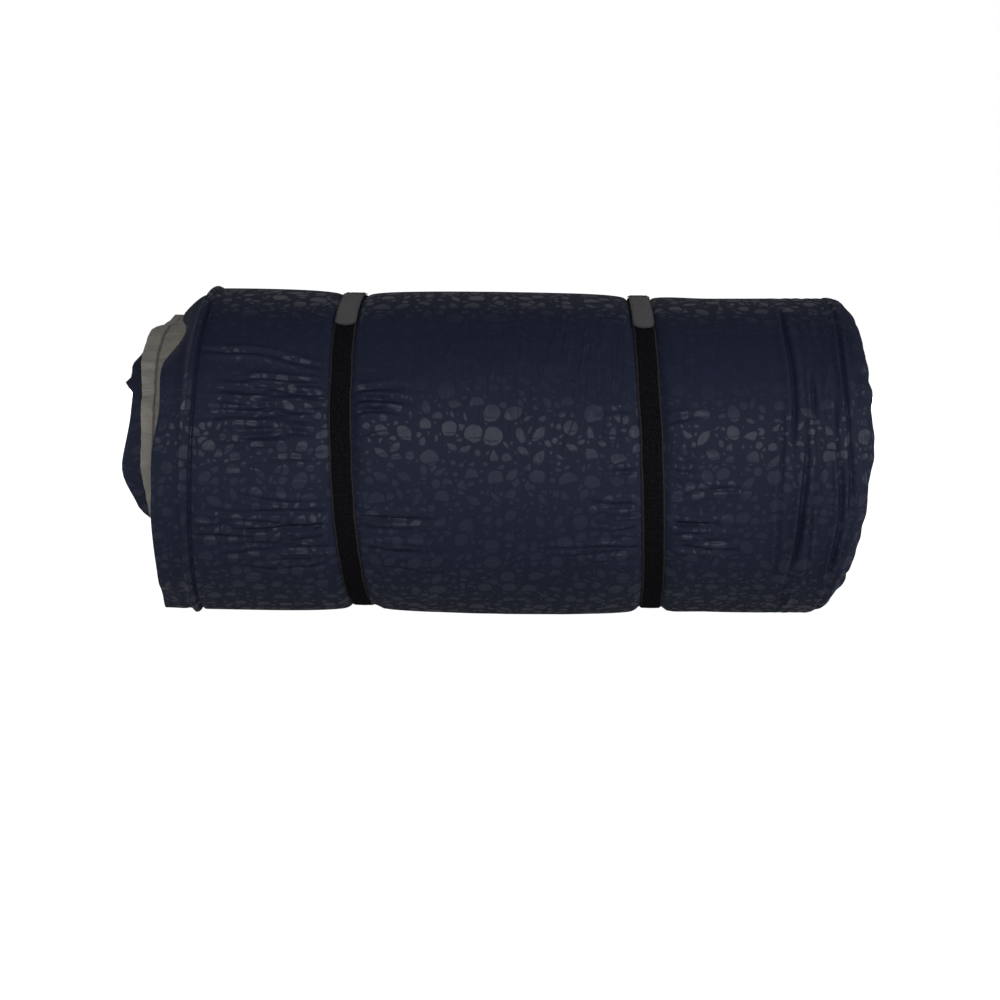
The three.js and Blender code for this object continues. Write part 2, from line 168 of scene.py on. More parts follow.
# ==== Small helpers
def ease(low, high, value):
    """0 below low, 1 above high, smooth between."""
    t = np.clip((value - low) / (high - low), 0, 1)
    return t * t * (3 - 2 * t)


def hump(value, middle, width):
    """A bell of height 1 at its middle."""
    return np.exp(-(((value - middle) / width) ** 2))


def ripples(a, b, length_a, length_b, seed, count=26):
    """A random field of about -1 to 1 with given wavelengths along a and b."""
    rng = np.random.default_rng(seed)
    total = np.zeros(np.broadcast(a, b).shape)
    for _ in range(count):
        ka = rng.uniform(0.45, 1.6) * rng.choice([-1, 1]) / length_a
        kb = rng.uniform(-1.3, 1.3) / length_b
        total += np.sin(2 * pi * (ka * a + kb * b) + rng.uniform(0, 2 * pi))
    return np.clip(total / np.sqrt(count) * 1.1, -1.6, 1.6)


# ==== The spiral
def sunk(s):
    """How many pitches the mat has stepped in after s turns."""
    return sum(ease(lap - LAP_BEFORE, lap + LAP_AFTER, s) for lap in range(1, WRAPS + 1))


def inner_radius(s):
    return ROLL_RADIUS - PITCH * sunk(s + 1) + LAYER_GAP


END_PRESS = ROLL_RADIUS - float(inner_radius(0.0)) - BARE_STACK


def outer_radius(s):
    taper = np.clip(1 - s / END_TAPER, 0, 1) ** 2
    return ROLL_RADIUS - PITCH * sunk(s) - END_PRESS * taper


def angle_of(s):
    return FREE_END - 2 * pi * s


def flattened(radius, s):
    """The first turn pressed flat where the roll rests on the ground."""
    down = np.maximum(-np.sin(angle_of(s)), 0.5)
    limit = GROUND / down
    return np.where((s < 1) & (down > 0.5), np.minimum(radius, limit), radius)


def drift(s):
    """How far the turns lie towards the open side; the inner ones slip back lower down."""
    return -DRIFT * ease(DRIFT_FROM, DRIFT_TO, s) + SLIP_BACK * ease(SLIP_FROM, SLIP_TO, s)


def first_turn(s):
    """1 on the first turn, fading to 0 as the second begins."""
    return 1 - ease(0.98, 1.04, s)


def strap_centre(strap, angle):
    return strap["x"] - strap["lean"] * np.sin(angle + STRAP_PHASE)


def seat_depth(s):
    fade_out = 1 - ease(1 - 4 / STEPS, 1, s)
    return STRAP_SINK * ease(0, 3 / STEPS, s) * fade_out


def in_space(x, radius, angle):
    """A place by its distance along the roll, its radius and its angle, as x, y and z."""
    y = AXIS_Y - radius * np.cos(angle)
    z = AXIS_Z + radius * np.sin(angle)
    return np.stack(np.broadcast_arrays(x, y, z), axis=-1)


# ==== The mat's cloth
def spans(*stretches):
    """Places from the first start to the last end, at each stretch's own spacing."""
    parts = [np.linspace(a, b, max(2, round((b - a) / step) + 1))[:-1] for a, b, step in stretches]
    return np.concatenate([*parts, [stretches[-1][1]]])


def flap_waves(s, seed):
    """Radial waves of a margin, which grow towards its cut edge."""
    size = np.clip(outer_radius(s) / ROLL_RADIUS, 0.2, 1)
    return ripples(s, np.floor(s), 0.085, 3.0, seed, 14) * FLAP_WAVE * size


def outer_flap_bend(s):
    """How far the margin of the outer half bends in towards the axis, in radians."""
    up = np.degrees(angle_of(np.mod(s, 1)))
    first = s < 1
    over_top = ease(60, 84, up) * (1 - ease(150, 175, up))
    bend = 46 * hump(up, 58, 15) + 27 * over_top + 9 * hump(up, 32, 12)
    return np.radians(np.where(first, bend, 9.0))


def outer_flap_edge(s):
    """How far the cut edge of the outer half's margin stands out of line, along the roll."""
    up = np.degrees(angle_of(np.mod(s, 1)))
    first = -5 * hump(up, 20, 14) + 1.0 * hump(up, 2, 7) - 2 * hump(up, -35, 24)
    second = 8 * hump(up, 41, 3.4) + 6 * hump(up, 52, 9) + 8 * hump(up, -2, 13)
    second = second - 12 * (1 - ease(-34, -22, up))
    third = -16.0 + 0 * up
    return MM * np.where(s < 1, first, np.where(s < 2, second, third))


def inner_flap_edge(s):
    """The same for the inner half's margin, whose first turn shows its grey side."""
    up = np.degrees(angle_of(np.mod(s, 1)))
    first = 3 * hump(up, 24, 20) + 10 * hump(up, 52, 20) - 4 * ease(66, 80, up)
    first = first - 15 * (1 - ease(-46, 0, up))
    return MM * np.where(s < 1.0, first, -17.0)


def cloth_at(across, s, face):
    """Where the cloth lies: x, radius, and its outward direction (along x, along the radius)."""
    outer, inner = outer_radius(s), inner_radius(s)
    leg = (outer - inner) / 2
    middle = (outer + inner) / 2
    angle = angle_of(s)
    shift = drift(s)
    full = np.clip(leg / (PITCH / 2), 0, 1)
    out = np.clip((EDGE_OUT - across) / FLAP, 0, 1)
    back = np.clip((across - EDGE_IN) / FLAP, 0, 1)
    turn = np.clip((across - LEG_END) / ARC, 0, 1) * pi
    grey = face == "grey"
    depth = {"printed": 0, "grey": leg - GREY_GAP, "foam": FOAM_DEPTH * full}[face]
    reach = leg - depth

    bend = outer_flap_bend(s)
    fall = FLAP * out * np.sin(bend * np.sqrt(out)) + FLAP_DROP * full * out**1.3
    margin = outer - fall + flap_waves(s, 3) * out**2 * full
    welded = ease(1 - WELD / FLAP - 0.1, 1 - WELD / FLAP, out)
    apart = WELD_GAP + OPEN_GAP * (1 - welded)
    rises = ease(0, 0.5, out)
    under = (middle + reach) * (1 - rises) + (margin - apart) * rises
    on_outer = under if grey else margin - depth

    centre = middle - 0.42 * leg + flap_waves(s, 8) * back**2 * full
    closes = ease(0, 0.7, back)
    apart_in = (0.3 + 1.2 * (1 - ease(0.6, 0.8, back))) * MM
    end = centre + (apart_in if grey else -apart_in)
    on_inner = (middle - reach) * (1 - closes) + end * closes

    pulled = FLAP * out * (1 - np.cos(bend * np.sqrt(out)))
    x_outer = FOAM_EDGE_X + shift + (across - EDGE_OUT) + pulled - outer_flap_edge(s) * out**2
    x_arc = FOLD_X + shift + reach * np.sin(turn)
    x_inner = FOLD_X + shift - (across - ARC_END) - inner_flap_edge(s) * back**2
    on_leg, on_arc = across < LEG_END, across < ARC_END
    x = np.where(on_leg, x_outer, np.where(on_arc, x_arc, x_inner))
    arc_radius = middle + reach * np.cos(turn)
    radius = np.where(on_leg, on_outer, np.where(on_arc, arc_radius, on_inner))
    side = -1 if grey else 1
    return x, radius, side * np.sin(turn) * on_arc, side * np.cos(turn), angle


def from_strap(x, angle):
    """Distance to the nearest strap's centre line."""
    gaps = [np.abs(x - strap_centre(strap, angle)) for strap in STRAPS.values()]
    return np.minimum(*gaps)


def pressed_by_straps(x, angle, s):
    """How far the straps pull the cloth in: a flat seat, a tight shoulder and a long sag."""
    away = np.maximum(from_strap(x, angle) - STRAP_WIDTH / 2 - 1.0 * MM, 0)
    share = 0.42 * np.exp(-away / (2.4 * MM)) + 0.24 * np.exp(-away / (13 * MM))
    share = share + 0.34 * np.exp(-away / (48 * MM))
    return seat_depth(s) * share * (s < 1)


def crease_areas(x, angle):
    """Where fine creases run along the roll, and where they run round it, each from 0 to 1."""
    up = np.degrees(angle)
    left, right = (strap_centre(strap, angle) for strap in STRAPS.values())
    open_end = ease(15 * MM, 45 * MM, x - FOAM_EDGE_X) * (1 - ease(0, 45 * MM, x - left))
    past_left = hump(x, left + 28 * MM, 32 * MM) * 0.8
    beside_right = hump(x, right, 62 * MM)
    high = hump(up, 22, 10) * 0.9 + hump(up, 8, 6) * 0.6
    low = hump(up, -20, 14) + 0.6 * hump(up, -42, 10)
    along = np.clip((open_end + past_left) * (high + low) + beside_right * low * 0.9, 0, 1)
    fold_end = ease(FOLD_TIP_X - 100 * MM, FOLD_TIP_X - 40 * MM, x)
    between_straps = hump(x, FOAM_EDGE_X + 330 * MM, 125 * MM)
    high_and_middle = hump(up, 42, 18) + 0.75 * hump(up, 8, 22)
    return along, np.clip(fold_end * 0.7 + between_straps * high_and_middle, 0, 1)


def crease(place, line, from_middle, half_length, depth, width):
    """One pinched fold: a sharp valley with a puffed shoulder on each side, faded at its ends."""
    off = (place - line) / width
    fade = 1 - ease(0.45, 1.0, np.abs(from_middle) / half_length)
    valley = np.exp(-(off**2))
    shoulders = np.exp(-(((np.abs(off) - 2.3) / 1.5) ** 2))
    return depth * fade * (0.6 * shoulders - valley)


def creases_from_straps(x, length):
    """Folds that run along the roll, fanning out from where a strap pinches the cloth."""
    rng = np.random.default_rng(17)
    height = np.zeros(np.broadcast(x, length).shape)
    for side, direction, up, spread, reach, count, depth in FANS:
        strap = STRAPS[side]
        for _ in range(count):
            offset = rng.normal(0, spread)
            rise = np.radians(up + offset)
            start = strap_centre(strap, rise) + direction * STRAP_WIDTH * 0.5
            long = reach * rng.uniform(0.5, 1.0)
            middle = start + direction * long * rng.uniform(0.45, 0.62)
            level = (FREE_END - rise) * ROLL_RADIUS
            slope = -direction * offset * rng.uniform(0.006, 0.014) + rng.normal(0, 0.03)
            bow = rng.normal(0, 3) * MM
            phase = rng.uniform(0, 2 * pi)
            run = x - start
            wave = 1.3 * MM * np.sin(run / (11 * MM) + phase) + bow * np.sin(pi * run / long)
            line = level + slope * run + wave
            deep = depth * rng.uniform(0.5, 1.1) * MM
            wide = rng.uniform(1.5, 2.5) * MM
            height += crease(length, line, x - middle, long / 2, deep, wide)
    return height


def creases_round_the_fold(x, length):
    """Long folds round the roll beside the folded end, and tighter puckers on the fold."""
    rng = np.random.default_rng(29)
    height = np.zeros(np.broadcast(x, length).shape)
    for low, high, count, shortest, longest, depth in RINGS:
        for _ in range(count):
            place = FOLD_TIP_X - rng.uniform(low, high) * MM
            half = rng.uniform(shortest, longest) * MM / 2
            middle = (FREE_END - radians(rng.uniform(-62, 58))) * ROLL_RADIUS
            run = length - middle
            lean = rng.normal(0, 0.035)
            phase = rng.uniform(0, 2 * pi)
            line = place + lean * run + 1.2 * MM * np.sin(run / (24 * MM) + phase)
            deep = depth * rng.uniform(0.5, 1.1) * MM
            wide = rng.uniform(1.3, 2.2) * MM
            height += crease(x, line, run, half, deep, wide)
    return height


def relief(across, x, angle, s, length):
    """How far the printed face stands out from its plain shape."""
    on_leg = (across < LEG_END) * (across > EDGE_OUT)
    calm = ease(CLEAR_OF_STRAP, 20 * MM, from_strap(x, angle))
    from_edge = across - EDGE_OUT
    bead = 3.0 * MM * hump(from_edge, -3.4 * MM, 3.0 * MM)
    crease_line = -3.0 * MM * hump(from_edge, 2.0 * MM, 1.5 * MM)
    groove = -1.5 * MM * hump(from_edge, -10.5 * MM, 3.6 * MM)
    end_bead = 1.5 * MM * hump(length, ROLL_RADIUS * 2 * pi / STEPS - 5 * MM, 4 * MM)
    along, around = crease_areas(x, angle)
    down_length = (FREE_END - angle) * ROLL_RADIUS
    folds = creases_from_straps(x, down_length) * (across > EDGE_OUT + 4 * MM)
    folds += creases_round_the_fold(x, down_length)
    folds = DEEPEST_FOLD * np.tanh(folds / DEEPEST_FOLD)
    folds += ripples(down_length, x, 17 * MM, 90 * MM, 25) * along * 0.35 * MM
    folds += ripples(x, down_length, 12 * MM, 220 * MM, 37) * around * 0.3 * MM
    dimples = ripples(length, x, 34 * MM, 40 * MM, 41) * 0.7 * MM
    dimples = dimples * ease(LEG_END - 6 * MM, LEG_END + 14 * MM, across) * (across < ARC_END)
    broad = ripples(length, x, 190 * MM, 240 * MM, 51, 12) * 0.9 * MM * on_leg
    thinner = ease(strap_centre(STRAPS["right"], angle), FOLD_X - 110 * MM, x)
    on_fold = np.cos(np.clip((across - LEG_END) / ARC, 0, 0.5) * pi) * (across < ARC_END)
    slim = -3.4 * MM * thinner * on_fold
    height = ((folds + broad) * calm + slim + dimples) * ease(0.3 / STEPS, 3 / STEPS, s)
    edge_part = (bead + crease_line + groove) * ease(0.3 / STEPS, 1.6 / STEPS, s)
    height = (height + edge_part + end_bead * on_leg) * first_turn(s)
    to_valve = np.hypot(x - VALVE_X, (angle - pi) * ROLL_RADIUS)
    near_valve = (1 - ease(24 * MM, 34 * MM, to_valve)) * first_turn(s)
    weld_ring = -0.5 * MM * (1 - ease(19 * MM, 23 * MM, to_valve)) * first_turn(s)
    return height * (1 - near_valve) + weld_ring - 0.6 * MM * near_valve


def round_off_hole(bm):
    """Puts the rim of the valve's hole on a true circle."""
    for vert in bm.verts:
        x, z = vert.co.x - VALVE_X, vert.co.z - VALVE_Z
        reach = sqrt(x * x + z * z)
        if vert.is_boundary and vert.co.y > AXIS_Y and reach < 2 * VALVE_HOLE:
            vert.co.x = VALVE_X + x / reach * VALVE_HOLE
            vert.co.z = VALVE_Z + z / reach * VALVE_HOLE


def cloth_map(across, along):
    """Each point's place on its flat cloth, in metres."""
    return np.stack(np.broadcast_arrays(across, along), axis=-1)


def shaped_grid(name, points, uv, numbers=None, gone=None, tube=False):
    """A grid of quads laid through rows of points, with a cloth map and number fields.

    The points marked as gone leave a hole. A tube's first and last columns are joined and
    its ends are closed.
    """
    rows, columns = points.shape[:2]
    bm = bmesh.new()
    bmesh.ops.create_grid(bm, x_segments=columns - 1, y_segments=rows - 1, size=1)
    bm.loops.layers.uv.new("cloth")
    mesh = bpy.data.meshes.new(name)
    bm.to_mesh(mesh)
    bm.free()
    mesh.vertices.foreach_set("co", points.astype(np.float32).reshape(-1))
    corners = np.zeros(len(mesh.loops), np.int32)
    mesh.loops.foreach_get("vertex_index", corners)
    places = uv.reshape(-1, 2)[corners].astype(np.float32)
    mesh.uv_layers["cloth"].data.foreach_set("uv", places.reshape(-1))
    for key, values in (numbers or {}).items():
        field = mesh.attributes.new(key, "FLOAT", "POINT")
        field.data.foreach_set("value", values.astype(np.float32).reshape(-1))
    bm = bmesh.new()
    bm.from_mesh(mesh)
    bm.verts.ensure_lookup_table()
    if gone is not None:
        cut = [bm.verts[i] for i in np.flatnonzero(gone.reshape(-1))]
        bmesh.ops.delete(bm, geom=cut, context="VERTS")
        round_off_hole(bm)
    if tube:
        bmesh.ops.remove_doubles(bm, verts=bm.verts[:], dist=0.01 * MM)
        bmesh.ops.holes_fill(bm, edges=bm.edges[:], sides=0)
        bmesh.ops.recalc_face_normals(bm, faces=bm.faces[:])
    for face in bm.faces:
        face.smooth = True
    bm.to_mesh(mesh)
    bm.free()
    piece = bpy.data.objects.new(name, mesh)
    bpy.context.scene.collection.objects.link(piece)
    return piece


def rows_of_mat(fine, middling, coarse):
    """Sections of the mat: fine where the first turn faces the front, coarse inside."""
    turn = 2 * pi * ROLL_RADIUS
    return spans(
        (0, 0.065, middling / turn),
        (0.065, 0.1, 3 * MM / turn),
        (0.1, 0.3, middling / turn),
        (0.3, 0.45, 1.7 * fine / turn),
        (0.45, 0.72, 0.8 * fine / turn),
        (0.72, 0.8, 1.7 * fine / turn),
        (0.8, 1.28, 12 * MM / turn),
        (1.28, 1.86, 9 * MM / turn),
        (1.86, WRAPS, coarse),
    )


def cloth_grid(across, rows, face):
    """One face of the mat at every row and column, pressed by the straps and the ground."""
    s, a = rows[:, None], across[None, :]
    step = np.diff(rows, prepend=rows[0])
    length = np.cumsum(2 * pi * outer_radius(rows) * step)[:, None]
    x, radius, along_x, along_radius, angle = cloth_at(a, s, face)
    x, radius, angle = np.broadcast_arrays(x, radius, angle)
    outside = a < ARC_END
    press = pressed_by_straps(x, angle, s) * (along_radius > 0.3) * outside
    pressed = flattened(radius, s) * outside + radius * (1 - outside) - press
    return a, s, length, x, pressed, along_x, along_radius, angle


def make_cover():
    """The printed cloth: columns are fine at the foam's edge, at the straps and by the fold."""
    across = spans(
        (0, EDGE_OUT - 9 * MM, 2.8 * MM),
        (EDGE_OUT - 9 * MM, EDGE_OUT + 5 * MM, 0.8 * MM),
        (EDGE_OUT + 5 * MM, EDGE_OUT + 22 * MM, 8 * MM),
        (EDGE_OUT + 22 * MM, EDGE_OUT + 58 * MM, 3 * MM),
        (EDGE_OUT + 58 * MM, EDGE_OUT + 112 * MM, 8 * MM),
        (EDGE_OUT + 112 * MM, EDGE_OUT + 164 * MM, 2.0 * MM),
        (EDGE_OUT + 164 * MM, EDGE_OUT + 389 * MM, 8 * MM),
        (EDGE_OUT + 389 * MM, EDGE_OUT + 447 * MM, 2.0 * MM),
        (EDGE_OUT + 447 * MM, LEG_END - 90 * MM, 6 * MM),
        (LEG_END - 90 * MM, LEG_END, 1.4 * MM),
        (LEG_END, ARC_END, 3.4 * MM),
        (ARC_END, EDGE_IN - 10 * MM, 60 * MM),
        (EDGE_IN - 10 * MM, CLOTH_WIDTH, 5 * MM),
    )
    rows = rows_of_mat(2.4 * MM, 7 * MM, 1 / 24)
    a, s, length, x, radius, along_x, along_radius, angle = cloth_grid(across, rows, "printed")
    height = relief(a, x, angle, s, length) * (a < ARC_END)
    points = in_space(x + height * along_x, radius + height * along_radius, angle)
    points[..., 2] = np.maximum(points[..., 2], 0.3 * MM)
    along, around = crease_areas(x, angle)
    first = first_turn(s) * ease(CLEAR_OF_STRAP, 18 * MM, from_strap(x, angle))
    to_valve = np.hypot(x - VALVE_X, points[..., 2] - VALVE_Z)
    gone = (to_valve < VALVE_HOLE - 1 * MM) & (s < 0.5)
    fields = {"along": along * first, "around": around * first}
    cover = shaped_grid("printed_cover", points, cloth_map(a, length), fields, gone)
    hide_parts("top_sheet")
    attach(cover, "mat")
    return cover


def make_back():
    """The grey cloth, crumpled along the inner half's margin."""
    across = spans(
        (0, EDGE_OUT + 4 * MM, 2.5 * MM),
        (EDGE_OUT + 4 * MM, LEG_END, 60 * MM),
        (LEG_END, ARC_END, ARC / 4),
        (ARC_END, EDGE_IN - 4 * MM, 60 * MM),
        (EDGE_IN - 4 * MM, CLOTH_WIDTH, 2.5 * MM),
    )
    rows = rows_of_mat(4 * MM, 7 * MM, 1 / 36)
    a, s, length, x, radius, _, along_radius, angle = cloth_grid(across, rows, "grey")
    crumple = ripples(length, a, 20 * MM, 26 * MM, 62) * ease(EDGE_IN, EDGE_IN + FLAP / 2, a)
    points = in_space(x, radius + (crumple + 1) * 0.6 * MM * (a > EDGE_IN), angle)
    points[..., 2] = np.maximum(points[..., 2], 1.2 * MM)
    back = shaped_grid("grey_back", points, cloth_map(a, length))
    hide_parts("bottom_sheet")
    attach(back, "mat")
    return back


def make_foam():
    """The foam core as one closed piece: a face under each cloth, joined at the edges."""
    rows = spans((1.2 / STEPS, WRAPS - 0.05, 1 / 48))
    across = spans(
        (EDGE_OUT + 3 * MM, LEG_END, 24 * MM),
        (LEG_END, ARC_END, ARC / 8),
        (ARC_END, EDGE_IN - 3 * MM, 80 * MM),
    )
    grids = [cloth_grid(across, rows, face) for face in ("foam", "grey")]
    outside, inside = (in_space(g[3], g[4], g[7]) for g in grids)
    leg = ((outer_radius(rows) - inner_radius(rows)) / 2)[:, None, None]
    inside = inside + (outside - inside) * np.clip(1.2 * MM / leg, 0, 0.4)
    ring = np.concatenate([outside, inside[:, ::-1], outside[:, :1]], axis=1)
    a, length = grids[0][0], grids[0][2]
    both = np.concatenate([a, a[:, ::-1], a[:, :1]], axis=1)
    foam = shaped_grid("mat_foam", ring, cloth_map(both, length), tube=True)
    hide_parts("foam_core")
    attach(foam, "mat")
    return foam


# ==== Straps
def seat_line():
    """The radius that a strap lies on, at every half degree of one turn, bridging the free end."""
    degrees = np.arange(0, 360, 0.5)
    s = np.mod(FREE_END - np.radians(degrees), 2 * pi) / (2 * pi)
    radius = flattened(outer_radius(s), s) - seat_depth(s)
    spread = 24
    around = np.concatenate([radius[-spread:], radius, radius[:spread]])
    window = np.hanning(2 * spread + 1)
    smooth = np.convolve(around, window / window.sum(), mode="valid")
    return degrees, np.maximum(radius, smooth)


SEAT_DEGREES, SEAT_RADIUS = seat_line()


def on_seat(strap, degrees, across, lift):
    """A place on a strap, by degrees round the roll, across the strap and up from its seat."""
    radius = np.interp(np.mod(degrees, 360), SEAT_DEGREES, SEAT_RADIUS, period=360)
    angle = np.radians(degrees)
    return in_space(strap_centre(strap, angle) + across, radius + lift, angle)


FIRST_LIFT = STRAP_GAP
SECOND_LIFT = FIRST_LIFT + STRAP_THICKNESS + STRAP_GAP
THIRD_LIFT = SECOND_LIFT + STRAP_THICKNESS + STRAP_GAP
TOP_LIFT = THIRD_LIFT + TAB_THICKNESS


def strip_section(half_width, thickness, crown, edge):
    """Across and up of a strip's outline: a crowned face, thin selvedges and a flat back."""
    share = np.array([-1, -0.985, -0.92, -0.86, -0.55, 0, 0.55, 0.86, 0.92, 0.985, 1])
    up = np.array([0.35, edge, edge, 0.93, 1, 1 + crown, 1, 0.93, edge, edge, 0.35])
    under = np.array([0.97, 0.5, 0, -0.5, -0.97, -1])
    across = np.concatenate([share, under]) * half_width[:, None]
    height = np.concatenate([up, np.zeros(len(under) - 1), up[:1]]) * thickness
    return across, np.broadcast_to(height, across.shape)


def make_band(side, strap):
    """The loop strip, which starts under the tab, goes once round and ends below its own start."""
    degrees = np.arange(BAND_START, BAND_END + 0.1, 1.0)
    lap = ease(BAND_LAP, BAND_LAP + BAND_STEP_DOWN, degrees)
    lift = SECOND_LIFT + (FIRST_LIFT - SECOND_LIFT) * lap
    half = np.full(len(degrees), STRAP_WIDTH / 2)
    across, height = strip_section(half, STRAP_THICKNESS, 0.1, 0.62)
    along = np.radians(degrees - degrees[0]) * ROLL_RADIUS
    sway = ripples(along, along * 0, 60 * MM, 1.0, len(side), 10) * 0.25 * MM
    points = on_seat(strap, degrees[:, None], across + sway[:, None], lift[:, None] + height)
    uv = cloth_map(across, along[:, None])
    band = shaped_grid(f"{side}_loop_band", points, uv, tube=True)
    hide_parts(f"strap_{side}_band")
    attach(band, "mat")
    return band


def make_tab(side, strap):
    """The hook strip: sewn on at its root, it drops over the band's start and lies on the loops."""
    degrees = np.arange(TAB_ROOT, TAB_END - 0.1, -0.5)
    drop = ease(BAND_START - 5.5, BAND_START - 0.5, degrees)
    nose = NOSE_LIFT * ease(TAB_END + 4, TAB_END, degrees)
    lift = SECOND_LIFT + (THIRD_LIFT - SECOND_LIFT) * drop + nose
    from_tip = np.minimum(np.radians(degrees - TAB_END) * ROLL_RADIUS, TAB_ROUNDING)
    inside = np.maximum(TAB_ROUNDING**2 - (TAB_ROUNDING - from_tip) ** 2, 0)
    corner = TAB_ROUNDING - np.sqrt(inside)
    half = STRAP_WIDTH / 2 - corner
    across, height = strip_section(half, TAB_THICKNESS, 0.12, 0.7)
    along = np.radians(TAB_ROOT - degrees) * ROLL_RADIUS
    points = on_seat(strap, degrees[:, None], across, lift[:, None] + height)
    tab = shaped_grid(f"{side}_tab", points, cloth_map(across, along[:, None]), tube=True)
    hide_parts(f"strap_{side}_hook_tab", f"strap_{side}_tab_root")
    bend_start = on_seat(strap, BAND_START + 1.5, 0.0, THIRD_LIFT)
    bend_end = on_seat(strap, BAND_START - 4.5, 0.0, THIRD_LIFT)
    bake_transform(tab)
    return tab


def make_stitching(side, strap):
    """Separate stitches in a box with two crossing rows, on the tab's sewn root."""
    low, high = BAND_START + 0.9, TAB_ROOT - 0.9
    wide = STRAP_WIDTH / 2 - 2.4 * MM
    corners = [(low, -wide), (low, wide), (high, wide), (high, -wide)]
    rows = [(corners[i], corners[(i + 1) % 4]) for i in range(4)]
    rows += [(corners[0], corners[2]), (corners[1], corners[3])]
    bm = bmesh.new()
    for start, end in rows:
        sew_row(bm, strap, start, end)
    for face in bm.faces:
        face.smooth = True
    mesh = bpy.data.meshes.new(f"{side}_stitches")
    bm.to_mesh(mesh)
    bm.free()
    stitches = bpy.data.objects.new(f"{side}_stitches", mesh)
    bpy.context.scene.collection.objects.link(stitches)
    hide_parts(f"strap_{side}_stitching")
    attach(stitches, "mat")
    return stitches


def sew_row(bm, strap, start, end):
    """Stitches end to end along one row, each a slim bead laid on the tape."""
    lift = TOP_LIFT + 0.22 * MM
    places = [Vector(on_seat(strap, degree, across, lift)) for degree, across in (start, end)]
    run = places[1] - places[0]
    count = round(run.length / STITCH_PITCH)
    turn = run.to_track_quat("X", "Z").to_matrix().to_4x4()
    shape = Matrix.Diagonal((STITCH_LENGTH / 2, THREAD * 0.6, THREAD * 0.5, 1))
    for i in range(count):
        share = (i + 0.5) / count
        degree = start[0] + (end[0] - start[0]) * share
        across = start[1] + (end[1] - start[1]) * share
        middle = Vector(on_seat(strap, degree, across, lift))
        bead = Matrix.Translation(middle) @ turn @ shape
        bmesh.ops.create_uvsphere(bm, u_segments=8, v_segments=6, radius=1, matrix=bead)


# ==== Materials
class Shader:
    """A material's node tree, with short ways to add and join nodes."""

    def __init__(self, name):
        self.material = bpy.data.materials.new(name)
        self.material.use_nodes = True
        self.tree = self.material.node_tree
        self.base = self.tree.nodes["Principled BSDF"]

    def add(self, kind, **settings):
        node = self.tree.nodes.new(kind)
        for key, value in settings.items():
            setattr(node, key, value)
        return node

    def feed(self, socket, value):
        if isinstance(value, bpy.types.NodeSocket):
            self.tree.links.new(value, socket)
        else:
            socket.default_value = value

    def math(self, operation, *values):
        node = self.add("ShaderNodeMath", operation=operation)
        for socket, value in zip(node.inputs, values):
            self.feed(socket, value)
        return node.outputs[0]

    def inverse(self, share):
        return self.math("SUBTRACT", 1.0, share)

    def vector(self, operation, *values):
        node = self.add("ShaderNodeVectorMath", operation=operation)
        for socket, value in zip(node.inputs, values):
            self.feed(socket, value)
        return node.outputs["Value" if operation == "LENGTH" else "Vector"]

    def axes(self, place):
        node = self.add("ShaderNodeSeparateXYZ")
        self.feed(node.inputs[0], place)
        return node.outputs[0], node.outputs[1]

    def scaled(self, place, factor):
        node = self.add("ShaderNodeVectorMath", operation="SCALE")
        self.feed(node.inputs[0], place)
        self.feed(node.inputs["Scale"], factor)
        return node.outputs["Vector"]

    def warped(self, place, scale, amount):
        """A place moved about at random by up to half the amount."""
        node = self.add("ShaderNodeTexNoise")
        self.feed(node.inputs["Vector"], place)
        self.feed(node.inputs["Scale"], scale)
        swing = self.vector("SUBTRACT", node.outputs["Color"], (0.5, 0.5, 0.5))
        return self.vector("ADD", place, self.scaled(swing, amount))

    def step(self, value, low, high):
        """0 below low, 1 above high, smooth between."""
        node = self.add("ShaderNodeMapRange", interpolation_type="SMOOTHSTEP")
        self.feed(node.inputs["Value"], value)
        self.feed(node.inputs["From Min"], low)
        self.feed(node.inputs["From Max"], high)
        return node.outputs["Result"]

    def mix(self, share, a, b):
        node = self.add("ShaderNodeMix", data_type="RGBA")
        self.feed(node.inputs[0], share)
        self.feed(node.inputs[6], a)
        self.feed(node.inputs[7], b)
        return node.outputs[2]

    def noise(self, place, scale, detail, rough):
        node = self.add("ShaderNodeTexNoise")
        self.feed(node.inputs["Vector"], place)
        self.feed(node.inputs["Scale"], scale)
        self.feed(node.inputs["Detail"], detail)
        self.feed(node.inputs["Roughness"], rough)
        return node.outputs[0]

    def bump(self, height, distance, strength, under=None):
        node = self.add("ShaderNodeBump")
        self.feed(node.inputs["Height"], height)
        self.feed(node.inputs["Distance"], distance)
        self.feed(node.inputs["Strength"], strength)
        if under is not None:
            self.feed(node.inputs["Normal"], under)
        return node.outputs["Normal"]

    def cloth_uv(self):
        return self.add("ShaderNodeUVMap", uv_map="cloth").outputs["UV"]

    def number(self, name):
        return self.add("ShaderNodeAttribute", attribute_name=name).outputs["Fac"]

    def set(self, **inputs):
        """Fills sockets of the surface, named with _ for a space, and hands the material over."""
        for key, value in inputs.items():
            self.feed(self.base.inputs[key.replace("_", " ")], value)
        return self.material


def colour(red, green, blue):
    """A colour given by its 0 to 255 screen values."""
    def linear(value):
        share = value / 255
        return share / 12.92 if share < 0.04045 else ((share + 0.055) / 1.055) ** 2.4
    return (linear(red), linear(green), linear(blue), 1.0)


PEBBLES = {  # cell, smallest and largest half length, gap to the next cell, and a shift of the pattern
    "large": (21 * MM, 5.6 * MM, 8.9 * MM, 0.9 * MM, 0.31),
    "medium": (12 * MM, 2.6 * MM, 5.1 * MM, 0.7 * MM, 0.17),
    "small": (8.5 * MM, 1.2 * MM, 2.7 * MM, 0.6 * MM, 0.53),
}


